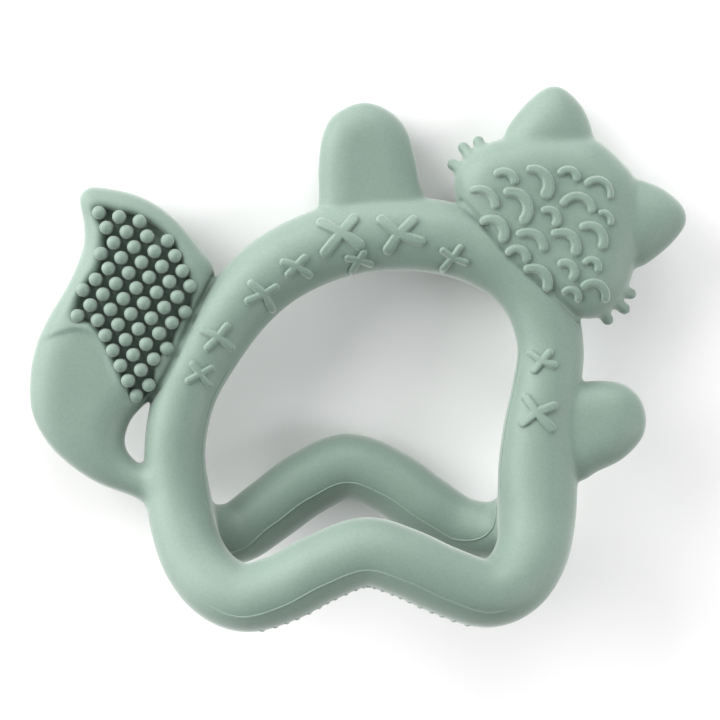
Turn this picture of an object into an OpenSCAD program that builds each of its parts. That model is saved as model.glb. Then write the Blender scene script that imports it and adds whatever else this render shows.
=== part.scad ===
// Fox-shaped teething ring, moulded in one piece of soft silicone.
// Every part is drawn in the plane of the ring: x to the right, y towards the fox's ears,
// z out of the front face. The whole ring is then laid down on its back, as it rests on a table.

/* [Ring] */
// Radius of the arch where it is slimmest, on the left leg
leg_r = 5.1; // [4.6:0.1:5.4]
// Radius of the arch at its crown
crown_r = 6.1; // [5.5:0.1:6.6]
// Radius of the arch at the foot of the right leg
foot_r = 6.6; // [6.0:0.1:7.0]
// Radius of the two wavy grip bars
bar_r = 5.6; // [5.0:0.1:6.0]
// How far each grip bar bows out of the ring's plane
bar_bow = 10.2; // [9.5:0.1:11.0]
// How far the ribs under the front bar stand proud
rib_h = 0.3; // [0.2:0.05:0.5]
// Width of a rib
rib_w = 0.6; // [0.5:0.1:1.0]
// Number of ribs under the front bar
rib_count = 23; // [9:2:25]

/* [Head] */
// How far the back of the fox's head stands out of the ring's plane
head_t = 5.6; // [5.0:0.1:6.0]
// How far the front of the head stands out of the ring's plane
head_front_t = 6.4; // [5.6:0.1:6.8]
// How far the back of an ear stands out of the ring's plane
ear_t = 3.9; // [3.2:0.1:4.4]
// How far the front of an ear stands out of the ring's plane
ear_front_t = 4.7; // [4.0:0.1:5.4]
// How far the fur arcs stand proud of the head
fur_h = 0.45; // [0.3:0.05:0.6]
// Width of a fur arc's stroke
fur_w = 1.4; // [1.0:0.1:1.8]

/* [Paws] */
// Half the thickness of the flat paw on top of the arch
top_paw_t = 3.8; // [3.2:0.1:4.4]
// Half the thickness of the round paw on the right leg
side_paw_t = 4.8; // [4.2:0.1:5.4]

/* [Tail] */
// Half the thickness of the tail's brush
brush_t = 5.0; // [4.4:0.1:5.4]
// Step down from the brush to the smooth base of the tail
tail_step = 0.4; // [0.2:0.1:0.8]
// Depth of the pocket that the pegs stand in
pocket_d = 2.0; // [1.4:0.1:2.4]
// Diameter of a peg
peg_d = 2.2; // [1.8:0.1:2.5]
// Distance between pegs in a row
peg_pitch = 3.43; // [3.2:0.01:3.6]
// Distance from a peg to its neighbour in the next row
row_step = 2.78; // [2.6:0.01:2.9]

/* [Stitches] */
// How far the stitch crosses stand proud of the arch
stitch_h = 0.45; // [0.3:0.05:0.7]
// How far their undersides sink into the arch
stitch_sink = 0.08; // [0.05:0.01:0.1]

/* [Rest] */
// Tilt that brings the crown of the arch down to the table
rest_pitch = -11.7; // [-13:0.1:-10]
// Sideways tilt as it lies on the table
rest_roll = -1.1; // [-3:0.1:1]

/* [Hidden] */

sage = [0.62, 0.70, 0.65];
light_sage = [0.70, 0.78, 0.73];

tube_sides = 20;
curve_steps = 3;
outline_steps = 4;
rim_levels = 5;
big = 60;

// Shift that puts the laid-down ring on the table, with its origin under the middle of its outline
rest_shift = [0.27, -1.26, 11.91];

// Arch from the foot of the left leg, over the crown, to the foot of the right leg: x, y, z, radius
arch_line = [
    [-29.8, -25.8, 0, leg_r + 0.3],
    [-30.8, -18.5, 0, leg_r],
    [-30.5, -11.5, 0, leg_r],
    [-28.7, -4.6, 0, leg_r + 0.1],
    [-25.0, 2.2, 0, leg_r + 0.3],
    [-20.5, 8.8, 0, crown_r - 0.4],
    [-14.9, 14.4, 0, crown_r - 0.1],
    [-8.2, 18.2, 0, crown_r],
    [-1.0, 20.4, 0, crown_r],
    [6.5, 21.0, 0, crown_r],
    [13.6, 20.4, 0, crown_r],
    [20.2, 18.3, 0, crown_r - 0.1],
    [25.9, 14.7, 0, crown_r - 0.3],
    [30.0, 9.3, 0, crown_r - 0.4],
    [31.7, 2.4, 0, crown_r - 0.6],
    [31.1, -4.5, 0, crown_r - 0.4],
    [30.0, -11.5, 0, crown_r],
    [29.6, -18.5, 0, foot_r],
    [29.4, -25.0, 0, foot_r - 0.1]
];

// Front grip bar from left to right; it bows forward and hangs lower than the rear one
front_line = [
    [-30.3, -21.5, 0.1, leg_r + 0.2],
    [-29.6, -26.8, 1.4, leg_r + 0.3],
    [-27.3, -32.6, 4.0, leg_r + 0.3],
    [-23.4, -37.0, 6.6, bar_r - 0.1],
    [-18.4, -38.7, bar_bow - 2.0, bar_r],
    [-12.3, -36.9, bar_bow - 1.0, bar_r],
    [-6.3, -33.7, bar_bow - 0.3, bar_r],
    [0.8, -31.1, bar_bow, bar_r],
    [7.2, -32.8, bar_bow - 0.2, bar_r],
    [13.7, -35.8, bar_bow - 1.0, bar_r],
    [20.3, -38.0, bar_bow - 2.2, bar_r],
    [25.2, -36.2, 6.2, bar_r + 0.2],
    [28.3, -31.6, 4.0, bar_r + 0.4],
    [29.4, -26.0, 1.6, foot_r - 0.2],
    [29.5, -20.5, 0.2, foot_r - 0.1]
];

// Rear grip bar from left to right; it bows backward
rear_line = [
    [-30.5, -20.0, 0, leg_r + 0.1],
    [-29.7, -24.8, -1.4, leg_r + 0.2],
    [-26.0, -29.3, -5.2, leg_r + 0.1],
    [-20.9, -29.3, -7.8, leg_r + 0.2],
    [-15.5, -25.7, 1.2 - bar_bow, bar_r - 0.1],
    [-9.3, -21.2, 0.3 - bar_bow, bar_r],
    [-2.3, -18.2, -bar_bow, bar_r],
    [4.6, -20.6, 0.2 - bar_bow, bar_r],
    [11.0, -24.9, 0.9 - bar_bow, bar_r - 0.1],
    [17.0, -28.2, 1.8 - bar_bow, bar_r - 0.6],
    [22.8, -28.8, -6.6, bar_r - 0.7],
    [27.2, -27.0, -4.0, bar_r - 0.1],
    [29.3, -23.6, -1.2, foot_r - 0.3],
    [29.5, -18.0, 0, foot_r - 0.1]
];

// Height where the arch ends and the grip bars begin, and slope of the joint between the bars
foot_y = -24;
bar_joint_turn = 8.5;
// Middle and size of the boxes that hold each leg's space above its foot
leg_x = 43;
leg_box = 40;

// Direction that the underside of the front bar faces, where the ribs are
underside = [0, -0.85, -0.53];
// Point of the front bar's line at its crest, where the middle rib is, and how finely the line is
// divided to place the ribs; they are rib_spacing divisions apart
front_crest = 7;
rib_path_steps = 8;
rib_spacing = 2;
// How far a rib reaches round the bar, and how deep inside the bar its slab begins
rib_span = 8.4;
rib_foot = 2;

// The head lies on an axis that runs up to the right at 45 degrees
head_centre = [30.6, 21.9];
head_turn = 45;

// Half of the head's outline, in the head's own frame: u along its axis towards the ears, v across
head_half = [[16.9, 2.5], [16.0, 5.4], [11.5, 11.0], [5.6, 15.4], [1.5, 17.2], [-3.4, 17.2],
    [-6.6, 14.4], [-8.8, 9.0], [-9.8, 3.0]];
head_rim = 3.4;
ear_outline = [[16.2, 4.4], [18.6, 9.0], [19.0, 13.2], [18.0, 15.6], [15.6, 16.6], [11.0, 16.7],
    [6.0, 15.4], [4.2, 10.6], [8.6, 6.0], [13.2, 3.4]];
ear_centre = [11.8, 11.0];

// Tips of the fur tufts on a cheek and their roots
tuft_tips = [[2.6, 18.7], [0.2, 19.8], [-3.5, 19.1]];
tuft_roots = [[1.4, 15.6], [-0.4, 16.0], [-1.8, 15.8]];
tuft_r = 0.8;
tuft_root_r = 1.3;

// Fur arcs on the front of the head: x, y, arc radius, turn of the arc's middle
fur_spots = [
    [24.3, 30.7, 1.1, 50], [29.9, 29.9, 1.9, 30], [34.7, 31.0, 1.0, 50], [40.0, 29.0, 1.5, 55],
    [20.5, 27.2, 1.8, 45], [26.3, 25.9, 2.0, 35], [31.7, 23.7, 1.0, 35], [36.1, 26.5, 1.8, 60],
    [41.0, 23.9, 0.8, 45], [22.5, 22.1, 1.7, 40], [28.4, 20.5, 1.6, 45], [34.2, 20.0, 1.7, 45],
    [39.4, 21.1, 1.6, 40], [26.4, 17.9, 1.1, 55], [30.0, 14.0, 1.7, 35], [34.6, 15.1, 1.1, 35],
    [38.4, 16.0, 1.0, 45], [35.4, 11.0, 0.9, 50], [39.2, 11.8, 1.5, 45]
];
arc_sweep = 140;
// How far an arc's middle is set back from its spot, in arc radii, and its thickest stroke likewise
arc_setback = 0.7;
arc_fullness = 0.9;

// Fur arcs on the back of the head, beside the face, in the head's own frame: u, v, arc radius
back_fur_spots = [[11.0, 0, 1.5], [7.8, 3.2, 1.1], [7.8, -3.2, 1.1], [0.2, 10.6, 1.1],
    [0.2, -10.6, 1.1], [-3.2, 10.2, 1.0], [-3.2, -10.2, 1.0]];
eye_u = 3.6;
eye_v = 6.4;
eye_r = 2.2;
eye_sweep = 150;
eye_w = 1.0;
nose_u = -4.6;
nose_r = 1.9;
back_fur_w = 1.1;

top_paw_outline = [[-7.6, 19.0], [-6.9, 26.0], [-6.9, 32.2], [-6.2, 37.5], [-4.2, 40.9],
    [0.5, 42.9], [4.7, 41.6], [7.7, 38.4], [9.2, 33.6], [10.1, 29.0], [11.4, 25.0], [10.0, 19.0],
    [1.4, 16.5]];
top_paw_rim = 2.6;
side_paw_outline = [[33.0, -5.0], [37.6, -3.6], [41.3, -3.5], [44.2, -4.1], [46.3, -5.9],
    [47.4, -8.3], [47.6, -10.8], [46.6, -13.5], [43.5, -16.6], [39.4, -18.6], [36.2, -20.2],
    [32.6, -17.0], [31.6, -11.0]];
side_paw_centre = [36.5, -11.2];
side_paw_fullness = 2.4;

// Whole tail, counter-clockwise from the tip of its brush, with the gap beside the left leg
tail_outline = [[-43.7, 28.8], [-45.9, 28.2], [-46.6, 26.4], [-45.9, 22.5], [-46.1, 18.4],
    [-48.5, 12.6], [-51.6, 7.4], [-53.7, 2.8], [-54.8, -2.4], [-54.6, -8.4], [-52.3, -13.3],
    [-48.6, -17.2], [-43.8, -20.4], [-38.6, -22.4], [-35.4, -23.2], [-32.0, -22.4],
    [-32.8, -18.2], [-36.7, -17.3], [-39.1, -14.4], [-38.6, -10.8], [-36.4, -7.9],
    [-31.8, -4.0], [-27.8, 5.0], [-24.2, 14.0], [-27.2, 19.3], [-31.7, 24.3], [-37.2, 27.5]];
tail_rim = 2.6;
tail_steps = 3;
// Step between the smooth base and the brush, from the outer edge to the gap
step_line = [[-60.0, 1.0], [-53.4, 3.0], [-50.0, 4.3], [-47.0, 5.0], [-45.0, 4.7], [-43.5, 3.5],
    [-42.0, 0.7], [-40.5, -2.9], [-38.9, -5.7], [-36.6, -7.5], [-30.0, -9.0]];
// Corners that close the step line into the brush's side of the tail
brush_corners = [[-20.0, -9.0], [-20.0, 40.0], [-60.0, 40.0]];

// Pocket in the brush, with rounded corners, that the pegs stand in
pocket_outline = [[-44.1, 25.1], [-42.9, 20.4], [-45.4, 15.0], [-46.4, 10.4], [-48.0, 6.8],
    [-44.2, 5.6], [-41.9, 3.4], [-39.6, -1.4], [-37.9, -5.7], [-36.0, -6.3], [-33.4, 0.4],
    [-31.2, 5.2], [-28.9, 11.4], [-28.9, 14.0], [-30.6, 18.9], [-35.6, 23.5], [-40.2, 25.7]];

// Grid of pegs: where the first one stands, the tilt of a row and of the step to the next row,
// and each row's first place and number of pegs
first_peg = [-43.05, 24.3];
row_tilt = -12.1;
row_step_tilt = -63.5;
// How far below the brush's face a peg's shaft ends and its round head begins
peg_head_drop = 0.7;
peg_rows = [[0, 3], [0, 4], [0, 4], [-1, 5], [-1, 5], [-2, 5], [-3, 6], [-3, 5], [-4, 5], [-3, 4],
    [-3, 3], [-3, 2], [-3, 2], [-3, 1]];

// Length of arch that a stitch cross is cut from
stitch_piece = 12;
// Stitch crosses on the arch: x, y, turn, length of an arm, width of the stroke
stitch_spots = [
    [-3.2, 20.8, 45, 6.8, 1.4], [7.0, 20.8, 50, 6.8, 1.4], [-0.2, 16.3, 20, 4.2, 0.9],
    [15.7, 17.2, 50, 4.4, 0.9], [-10.3, 15.7, 25, 4.6, 1.0], [-16.0, 10.9, 30, 5.4, 1.1],
    [-23.8, 3.9, 40, 5.4, 1.1], [-26.7, -2.3, 35, 4.6, 1.0], [30.3, -0.3, 35, 4.4, 1.0],
    [29.8, -9.0, 45, 6.2, 1.3]
];

// ---- Curves and lofts ----

function unit(v) = v / norm(v);

// Point of a smooth curve between b and c, a share t of the way
function curve_point(a, b, c, d, t) =
    0.5 * (2 * b + (c - a) * t + (2 * a - 5 * b + 4 * c - d) * t * t
        + (3 * b - a - 3 * c + d) * t * t * t);

// Smooth open line through points of any dimension
function smooth_line(p, steps) =
    let (n = len(p))
    concat([for (i = [0 : n - 2], k = [0 : steps - 1])
        curve_point(p[max(i - 1, 0)], p[i], p[i + 1], p[min(i + 2, n - 1)], k / steps)], [p[n - 1]]);

// Smooth closed loop through points of any dimension
function smooth_loop(p, steps) =
    let (n = len(p))
    [for (i = [0 : n - 1], k = [0 : steps - 1])
        curve_point(p[(i + n - 1) % n], p[i], p[(i + 1) % n], p[(i + 2) % n], k / steps)];

function spot(p) = [p[0], p[1], p[2]];
function heading(line, i) =
    unit(spot(line[min(i + 1, len(line) - 1)]) - spot(line[max(i - 1, 0)]));
function side_of(t) = unit(cross(t, [0, 0, 1]));

// Outline of the whole head, mirrored about its axis and turned into the ring's frame
function to_ring(p) =
    [head_centre[0] + p[0] * cos(head_turn) - p[1] * sin(head_turn),
        head_centre[1] + p[0] * sin(head_turn) + p[1] * cos(head_turn)];
function flipped(p) = [p[0], -p[1]];
function backwards(list) = [for (i = [len(list) - 1 : -1 : 0]) list[i]];
function head_outline() =
    smooth_loop([for (p = concat(head_half, backwards([for (q = head_half) flipped(q)]))) to_ring(p)],
        outline_steps);

// Unit vector into the shape at point i of a counter-clockwise outline
function inward(p, i) =
    let (n = len(p), t = unit(p[(i + 1) % n] - p[(i + n - 1) % n]))
    [-t[1], t[0]];

// A closed solid through rings of equally many points, each counter-clockwise about the way up
module loft(rings) {
    n = len(rings[0]);
    last = len(rings) - 1;
    polyhedron(
        points = [for (r = rings, p = r) p],
        faces = concat(
            [[for (k = [0 : n - 1]) k]],
            [[for (k = [n - 1 : -1 : 0]) last * n + k]],
            [for (i = [0 : last - 1], k = [0 : n - 1])
                [i * n + k, (i + 1) * n + k, (i + 1) * n + (k + 1) % n]],
            [for (i = [0 : last - 1], k = [0 : n - 1])
                [i * n + k, (i + 1) * n + (k + 1) % n, i * n + (k + 1) % n]]
        )
    );
}

// Round tube along a line of [x, y, z, radius], made thicker all over by extra
module tube(line, extra = 0) {
    path = smooth_line(line, curve_steps);
    loft([for (i = [0 : len(path) - 1])
        let (t = heading(path, i), s = side_of(t), u = cross(t, s))
        [for (k = [0 : tube_sides - 1])
            let (a = 360 * k / tube_sides)
            spot(path[i]) + (path[i][3] + extra) * (cos(a) * s + sin(a) * u)]]);
}

// Flat plate of half thickness half_t, or back_t behind, with a rounded rim rim_w wide
module cushion(outline, half_t, rim_w, back_t = 0) {
    n = len(outline);
    lower_t = back_t > 0 ? back_t : half_t;
    loft([for (level = [-rim_levels : rim_levels])
        let (a = 90 * level / rim_levels, inset = rim_w * (1 - cos(a)))
        [for (i = [0 : n - 1])
            let (p = outline[i] + inset * inward(outline, i))
            [p[0], p[1], (level > 0 ? half_t : lower_t) * sin(a)]]]);
}

// Dome on both faces of an outline, shrinking towards centre; power 2 is an ellipse, more is fuller
module dome(outline, centre, half_t, power, back_t = 0) {
    lower_t = back_t > 0 ? back_t : half_t;
    loft([for (level = [-rim_levels : rim_levels])
        let (a = 86 * level / rim_levels, share = pow(cos(a), 2 / power),
            face_t = level > 0 ? half_t : -lower_t,
            z = face_t * pow(abs(sin(a)), 2 / power))
        [for (p = outline)
            [centre[0] + (p[0] - centre[0]) * share, centre[1] + (p[1] - centre[1]) * share, z]]]);
}

// One closed skin round everything inside
module skin() {
    resize([0, 0, 0]) children();
}

// From the ring's own plane to how it lies on its back
module laid_down() {
    translate(rest_shift) rotate([rest_pitch, rest_roll, 0]) children();
}

module mirrored_to_back() {
    mirror([0, 0, 1]) children();
}

// ---- Ring ----

module arch_solid(extra = 0) {
    tube(arch_line, extra);
}

// Half of space below the feet of the arch
module below_feet() {
    translate([-big, foot_y - 2 * big, -big]) cube(2 * big);
}

// The two legs above their feet
module above_feet() {
    for (side = [-1, 1])
        translate([side * leg_x - leg_box / 2, foot_y, -leg_box / 2]) cube(leg_box);
}

// Half of space in front of the joint between the bars, or behind it
module joint_side(front) {
    translate([0, foot_y, 0]) rotate([bar_joint_turn, 0, 0])
        translate([-big, -big, front ? 0 : -2 * big]) cube(2 * big);
}

module ring_arch() {
    color(sage) laid_down() skin() difference() {
        arch_solid();
        below_feet();
    }
}

module front_bar() {
    color(sage) laid_down() skin() difference() {
        tube(front_line);
        above_feet();
        joint_side(false);
    }
}

module rear_bar() {
    color(sage) laid_down() skin() difference() {
        tube(rear_line);
        above_feet();
        joint_side(true);
    }
}

// Thin slabs square to the front bar, on its underside, that cut ribs out of a slightly thicker tube
module rib_slabs() {
    path = smooth_line(front_line, rib_path_steps);
    for (k = [0 : rib_count - 1]) {
        i = rib_path_steps * front_crest + rib_spacing * (k - (rib_count - 1) / 2);
        t = heading(path, i);
        down = unit(underside - (underside * t) * t);
        across = cross(down, t);
        multmatrix([
            [t[0], across[0], down[0], path[i][0]],
            [t[1], across[1], down[1], path[i][1]],
            [t[2], across[2], down[2], path[i][2]],
            [0, 0, 0, 1]
        ])
            translate([-rib_w / 2, -rib_span / 2, rib_foot]) cube([rib_w, rib_span, bar_r]);
    }
}

module front_bar_ribs() {
    color(light_sage) laid_down() skin() difference() {
        intersection() {
            tube(front_line, rib_h);
            rib_slabs();
        }
        tube(front_line);
    }
}

// ---- Head ----

module head_solid() {
    cushion(head_outline(), head_front_t, head_rim, head_t);
}

module fox_head() {
    color(sage) laid_down() skin() difference() {
        head_solid();
        arch_solid();
    }
}

// side is 1 for the upper left half of the head and -1 for the lower right half
module ear(side) {
    outline = [for (p = ear_outline) to_ring([p[0], side * p[1]])];
    ordered = side > 0 ? outline : backwards(outline);
    skin() difference() {
        dome(smooth_loop(ordered, outline_steps), to_ring([ear_centre[0], side * ear_centre[1]]),
            ear_front_t, 2, ear_t);
        head_solid();
    }
}

module upper_ear() {
    color(sage) laid_down() ear(1);
}

module side_ear() {
    color(sage) laid_down() ear(-1);
}

module cheek_tuft(side) {
    skin() difference() {
        for (i = [0 : len(tuft_tips) - 1]) {
            tip = to_ring([tuft_tips[i][0], side * tuft_tips[i][1]]);
            root = to_ring([tuft_roots[i][0], side * tuft_roots[i][1]]);
            hull() {
                translate([tip[0], tip[1], 0]) sphere(r = tuft_r, $fn = 12);
                translate([root[0], root[1], 0]) sphere(r = tuft_root_r, $fn = 12);
            }
        }
        head_solid();
        arch_solid();
    }
}

module upper_cheek_tuft() {
    color(sage) laid_down() cheek_tuft(1);
}

module lower_cheek_tuft() {
    color(sage) laid_down() cheek_tuft(-1);
}

// Curved stroke with round ends, bulging towards turn
module arc_stroke(r, sweep, turn, w) {
    rotate(turn - sweep / 2) {
        intersection() {
            difference() {
                circle(r = r + w / 2, $fn = 32);
                circle(r = r - w / 2, $fn = 32);
            }
            polygon(concat([[0, 0]], [for (k = [0 : 4]) 3 * r * [cos(sweep * k / 4), sin(sweep * k / 4)]]));
        }
        for (a = [0, sweep])
            rotate(a) translate([r, 0]) circle(d = w, $fn = 16);
    }
}

module fur_arcs() {
    color(light_sage) laid_down() translate([0, 0, head_front_t]) linear_extrude(fur_h)
        for (s = fur_spots)
            translate([s[0], s[1]] - arc_setback * s[2] * [cos(s[3]), sin(s[3])])
                arc_stroke(s[2], arc_sweep, s[3], min(fur_w, arc_fullness * s[2]));
}

// Sleeping face on the back: two closed eyes, a nose and a little fur
module face_relief() {
    color(light_sage) laid_down() mirrored_to_back()
        translate([head_centre[0], head_centre[1], head_t]) linear_extrude(fur_h) rotate(head_turn) {
            for (side = [-1, 1])
                translate([eye_u, side * eye_v]) arc_stroke(eye_r, eye_sweep, 180, eye_w);
            translate([nose_u, 0]) circle(r = nose_r, $fn = 32);
            for (s = back_fur_spots)
                translate([s[0], s[1]]) arc_stroke(s[2], arc_sweep, 0, back_fur_w);
        }
}

// ---- Paws ----

module top_paw() {
    color(sage) laid_down() skin() difference() {
        cushion(smooth_loop(backwards(top_paw_outline), outline_steps), top_paw_t, top_paw_rim);
        arch_solid();
    }
}

module side_paw() {
    color(sage) laid_down() skin() difference() {
        dome(smooth_loop(backwards(side_paw_outline), outline_steps), side_paw_centre, side_paw_t,
            side_paw_fullness);
        arch_solid();
    }
}

// ---- Tail ----

module tail_solid(half_t) {
    cushion(smooth_loop(tail_outline, tail_steps), half_t, tail_rim);
}

module brush_side() {
    linear_extrude(big, center = true) polygon(concat(smooth_line(step_line, tail_steps), brush_corners));
}

module pocket() {
    translate([0, 0, brush_t - pocket_d])
        linear_extrude(big) polygon(smooth_loop(pocket_outline, outline_steps));
}

module tail_brush() {
    color(sage) laid_down() skin() difference() {
        intersection() {
            tail_solid(brush_t);
            brush_side();
        }
        pocket();
        mirrored_to_back() pocket();
        arch_solid();
    }
}

module tail_base() {
    color(sage) laid_down() skin() difference() {
        tail_solid(brush_t - tail_step);
        brush_side();
        arch_solid();
    }
}

// Round-headed pegs on the floor of the pocket
module pegs() {
    shaft = pocket_d - peg_head_drop;
    for (row = [0 : len(peg_rows) - 1], k = [0 : peg_rows[row][1] - 1]) {
        along = (peg_rows[row][0] + k) * peg_pitch;
        place = first_peg + along * [cos(row_tilt), sin(row_tilt)]
            + row * row_step * [cos(row_step_tilt), sin(row_step_tilt)];
        translate([place[0], place[1], brush_t - pocket_d]) {
            cylinder(d = peg_d, h = shaft, $fn = 24);
            translate([0, 0, shaft]) intersection() {
                sphere(d = peg_d, $fn = 24);
                cylinder(d = 2 * peg_d, h = peg_d, $fn = 24);
            }
        }
    }
}

module front_pegs() {
    color(light_sage) laid_down() pegs();
}

module back_pegs() {
    color(light_sage) laid_down() mirrored_to_back() pegs();
}

// ---- Stitches ----

// Place on the arch's middle line that is nearest to a spot
function nearest(path, p) =
    let (gaps = [for (q = path) norm([q[0] - p[0], q[1] - p[1]])], least = min(gaps))
    [for (i = [0 : len(path) - 1]) if (gaps[i] == least) i][0];

module stroke(length, w) {
    square([length - w, w], center = true);
    for (end = [-1, 1])
        translate([end * (length - w) / 2, 0]) circle(d = w, $fn = 24);
}

// A short straight length of the arch's tube round place i of its middle line, made thicker by extra
module tube_piece(path, i, extra) {
    t = heading(path, i);
    translate(spot(path[i])) rotate([0, 0, atan2(t[1], t[0])]) rotate([0, 90, 0])
        cylinder(r = path[i][3] + extra, h = stitch_piece, center = true, $fn = 60);
}

module stitches() {
    path = smooth_line(arch_line, curve_steps);
    for (s = stitch_spots) {
        i = nearest(path, s);
        difference() {
            intersection() {
                tube_piece(path, i, stitch_h);
                linear_extrude(big)
                    translate([s[0], s[1]]) rotate(s[2])
                        for (turn = [0, 90])
                            rotate(turn) stroke(s[3], s[4]);
            }
            tube_piece(path, i, -stitch_sink);
        }
    }
}

module front_stitches() {
    color(light_sage) laid_down() stitches();
}

module back_stitches() {
    color(light_sage) laid_down() mirrored_to_back() stitches();
}

ring_arch();
front_bar();
rear_bar();
front_bar_ribs();
fox_head();
upper_ear();
side_ear();
upper_cheek_tuft();
lower_cheek_tuft();
fur_arcs();
face_relief();
top_paw();
side_paw();
tail_base();
tail_brush();
front_pegs();
back_pegs();
front_stitches();
back_stitches();
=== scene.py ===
import cmath
import itertools
import math
from collections import Counter

import bpy
import numpy as np
from mathutils import Matrix, Vector


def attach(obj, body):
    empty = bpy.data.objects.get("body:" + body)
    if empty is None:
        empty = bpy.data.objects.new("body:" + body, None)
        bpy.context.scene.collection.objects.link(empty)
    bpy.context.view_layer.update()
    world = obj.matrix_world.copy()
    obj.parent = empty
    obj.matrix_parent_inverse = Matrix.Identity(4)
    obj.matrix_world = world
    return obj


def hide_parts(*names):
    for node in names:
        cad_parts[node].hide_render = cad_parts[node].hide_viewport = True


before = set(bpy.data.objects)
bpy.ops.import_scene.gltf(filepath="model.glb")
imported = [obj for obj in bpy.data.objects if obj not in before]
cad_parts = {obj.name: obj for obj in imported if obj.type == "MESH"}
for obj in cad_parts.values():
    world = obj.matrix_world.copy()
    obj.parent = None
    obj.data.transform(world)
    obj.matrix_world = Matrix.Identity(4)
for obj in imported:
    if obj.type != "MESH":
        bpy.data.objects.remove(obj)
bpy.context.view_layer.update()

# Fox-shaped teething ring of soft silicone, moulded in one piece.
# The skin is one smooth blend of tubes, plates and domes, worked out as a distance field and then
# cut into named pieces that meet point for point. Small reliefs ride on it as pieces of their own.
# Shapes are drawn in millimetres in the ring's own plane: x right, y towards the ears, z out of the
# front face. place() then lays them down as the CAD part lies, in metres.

# ---- How the ring lies on its back ----

MM = 0.001
REST_PITCH = math.radians(-11.7)
REST_ROLL = math.radians(-1.1)
REST_SHIFT = Vector((0.27, -1.26, 11.91))
LAID_DOWN = Matrix.Rotation(REST_ROLL, 3, "Y") @ Matrix.Rotation(REST_PITCH, 3, "X")

# ---- Driving sizes ----

# Spacing of the sample points for the skin and for the reliefs, how far a field is worked out
# beside its shape, and the distance that stands for anything further away
SKIN_STEP = 0.4
RELIEF_STEP = 0.14
BAND = 3.5
FAR = 60.0
HEIGHT_STEP = 0.1
MOST_HEIGHT = 9

# Tube radii, how far the bars bow from the arch's plane, and where the arch ends at its feet
LEG_R = 5.1
CROWN_R = 6.1
FOOT_R = 6.6
BAR_R = 5.6
BAR_BOW = 10.2
FOOT_Y = -24.0

# How far each face stands out of the ring's plane (T), and the width over which it curves down
# to the outline (RIM)
HEAD_FRONT_T = 6.4
HEAD_BACK_T = 5.6
HEAD_RIM = 7.5
EAR_FRONT_T = 5.0
EAR_BACK_T = 4.1
EAR_RIM = 7.0
TOP_PAW_T = 3.9
TOP_PAW_RIM = 5.5
# The paw on top thickens by this much a millimetre towards its tip, from its middle
TOP_PAW_FLARE = 0.05
TOP_PAW_MIDDLE = 30.0
SIDE_PAW_T = 4.8
SIDE_PAW_RIM = 6.0
TAIL_T = 5.0
TAIL_STEP = 0.45
TAIL_RIM = 6.5
POCKET_DEPTH = 2.8
PEG_R = 1.1
PEG_HEAD = 0.85
PEG_RISE = 0.45
PEG_PITCH = 3.43
PEG_ROW_STEP = 2.78
STITCH_RISE = 0.58
FUR_RISE = 0.68
RELIEF_ROUND = 0.40
RELIEF_SINK = 0.3
RELIEF_FOOT = 0.16
FOOT_HEIGHT = 0.14
RIB_RISE = 0.23
RIB_HALF = 0.38
RIB_SINK = 0.3
RIB_COUNT = 23
RIB_REACH = math.radians(52)
SEAM_RISE = 0.13
SEAM_HALF = 0.17
SEAM_SINK = 0.15

# Loop of the arch and the front bar, clockwise from the left leg over the crown: x, y, z, radius
LOOP_LINE = [
    (-30.8, -18.5, 0, LEG_R), (-30.5, -11.5, 0, LEG_R), (-28.7, -4.6, 0, LEG_R + 0.1),
    (-25.0, 2.2, 0, LEG_R + 0.3), (-20.5, 8.8, 0, CROWN_R - 0.4), (-14.9, 14.4, 0, CROWN_R - 0.1),
    (-8.2, 18.2, 0, CROWN_R), (-1.0, 20.4, 0, CROWN_R), (6.5, 21.0, 0, CROWN_R),
    (13.6, 20.4, 0, CROWN_R), (20.2, 18.3, 0, CROWN_R - 0.1), (25.9, 14.7, 0, CROWN_R - 0.3),
    (30.0, 9.3, 0, CROWN_R - 0.4), (31.7, 2.4, 0, CROWN_R - 0.6), (31.1, -4.5, 0, CROWN_R - 0.4),
    (30.0, -11.5, 0, CROWN_R), (29.6, -18.5, 0.1, FOOT_R), (29.4, -25.6, 1.5, FOOT_R - 0.2),
    (28.3, -31.6, 4.0, BAR_R + 0.4), (25.2, -36.2, 6.2, BAR_R + 0.2),
    (20.3, -38.0, BAR_BOW - 2.2, BAR_R), (13.7, -35.8, BAR_BOW - 1.0, BAR_R),
    (7.2, -32.8, BAR_BOW - 0.2, BAR_R), (0.8, -31.1, BAR_BOW, BAR_R),
    (-6.3, -33.7, BAR_BOW - 0.3, BAR_R), (-12.3, -36.9, BAR_BOW - 1.0, BAR_R),
    (-18.4, -38.7, BAR_BOW - 2.0, BAR_R), (-23.4, -37.0, 6.6, BAR_R - 0.1),
    (-27.3, -32.6, 4.0, LEG_R + 0.3), (-29.7, -26.0, 1.4, LEG_R + 0.2),
]
FRONT_CREST = 23

# Rear bar from left to right; its slim ends run into the legs
REAR_LINE = [
    (-30.9, -17.0, -0.2, LEG_R - 1.6), (-30.4, -21.0, -0.9, LEG_R - 0.7),
    (-29.2, -26.2, -3.0, LEG_R), (-26.0, -29.3, -5.4, LEG_R + 0.1),
    (-20.9, -29.3, -7.8, LEG_R + 0.2), (-15.5, -25.7, 1.2 - BAR_BOW, BAR_R - 0.1),
    (-9.3, -21.2, 0.3 - BAR_BOW, BAR_R), (-2.3, -18.2, -BAR_BOW, BAR_R),
    (4.6, -20.6, 0.2 - BAR_BOW, BAR_R), (11.0, -24.9, 0.9 - BAR_BOW, BAR_R - 0.1),
    (17.0, -28.2, 1.8 - BAR_BOW, BAR_R - 0.6), (22.8, -28.8, -6.6, BAR_R - 0.7),
    (27.0, -26.6, -4.0, BAR_R - 0.4), (29.3, -22.0, -1.4, BAR_R - 0.6),
    (29.6, -17.0, -0.2, BAR_R - 1.6),
]

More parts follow.
